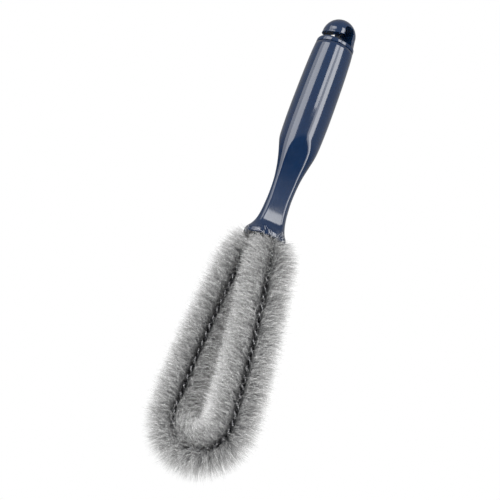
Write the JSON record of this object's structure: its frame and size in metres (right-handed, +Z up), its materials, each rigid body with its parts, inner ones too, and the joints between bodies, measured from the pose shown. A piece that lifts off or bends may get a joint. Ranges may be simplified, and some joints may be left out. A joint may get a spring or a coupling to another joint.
{
  "type": "wheel brush",
  "caption": "Hand brush for wheels: a plastic handle with thumb scoops and a hanging hook cap, and a twisted wire loop that grips dense bristles.",
  "frame": {"origin": "the crown of the hang hole, on the handle's axis, where a peg bears", "axes": "+Z up along the handle towards the hook's dome; the hang hole and its slot run through along Y, and the slot's mouth faces -X"},
  "size_m": [0.0695, 0.0912, 0.3911],
  "materials": {
    "cap_plastic": "smooth glossy navy blue moulding",
    "handle_plastic": "smooth glossy navy blue moulding",
    "wire_steel": "galvanised steel wire, slightly dulled",
    "bristle_filament": "fine silver-grey synthetic filaments, translucent at the tips"
  },
  "bodies": {
    "root": {"hook_cap": "cap_plastic", "handle_body": "handle_plastic", "wire_strand_a": "wire_steel", "wire_strand_b": "wire_steel", "bristle_row_01": "bristle_filament", "bristle_row_02": "bristle_filament", "bristle_row_03": "bristle_filament", "bristle_row_04": "bristle_filament", "bristle_row_05": "bristle_filament", "bristle_row_06": "bristle_filament", "bristle_row_07": "bristle_filament", "bristle_row_08": "bristle_filament", "bristle_row_09": "bristle_filament", "bristle_row_10": "bristle_filament", "bristle_row_11": "bristle_filament", "bristle_row_12": "bristle_filament", "bristle_row_13": "bristle_filament", "bristle_row_14": "bristle_filament", "bristle_row_15": "bristle_filament", "bristle_row_16": "bristle_filament", "bristle_row_17": "bristle_filament", "bristle_row_18": "bristle_filament", "bristle_row_19": "bristle_filament", "bristle_row_20": "bristle_filament", "bristle_row_21": "bristle_filament", "bristle_row_22": "bristle_filament", "bristle_row_23": "bristle_filament", "bristle_row_24": "bristle_filament", "bristle_row_25": "bristle_filament", "bristle_row_26": "bristle_filament", "bristle_row_27": "bristle_filament", "bristle_row_28": "bristle_filament", "bristle_row_29": "bristle_filament", "bristle_row_30": "bristle_filament", "bristle_row_31": "bristle_filament", "bristle_row_32": "bristle_filament", "bristle_row_33": "bristle_filament", "bristle_row_34": "bristle_filament", "bristle_row_35": "bristle_filament", "bristle_row_36": "bristle_filament", "bristle_row_37": "bristle_filament", "bristle_row_38": "bristle_filament", "bristle_row_39": "bristle_filament", "bristle_row_40": "bristle_filament", "bristle_row_41": "bristle_filament", "bristle_row_42": "bristle_filament", "bristle_row_43": "bristle_filament", "bristle_row_44": "bristle_filament", "bristle_row_45": "bristle_filament", "bristle_row_46": "bristle_filament", "bristle_row_47": "bristle_filament", "bristle_row_48": "bristle_filament", "bristle_row_49": "bristle_filament", "bristle_row_50": "bristle_filament", "bristle_row_51": "bristle_filament", "bristle_row_52": "bristle_filament"}
  },
  "joints": []
}
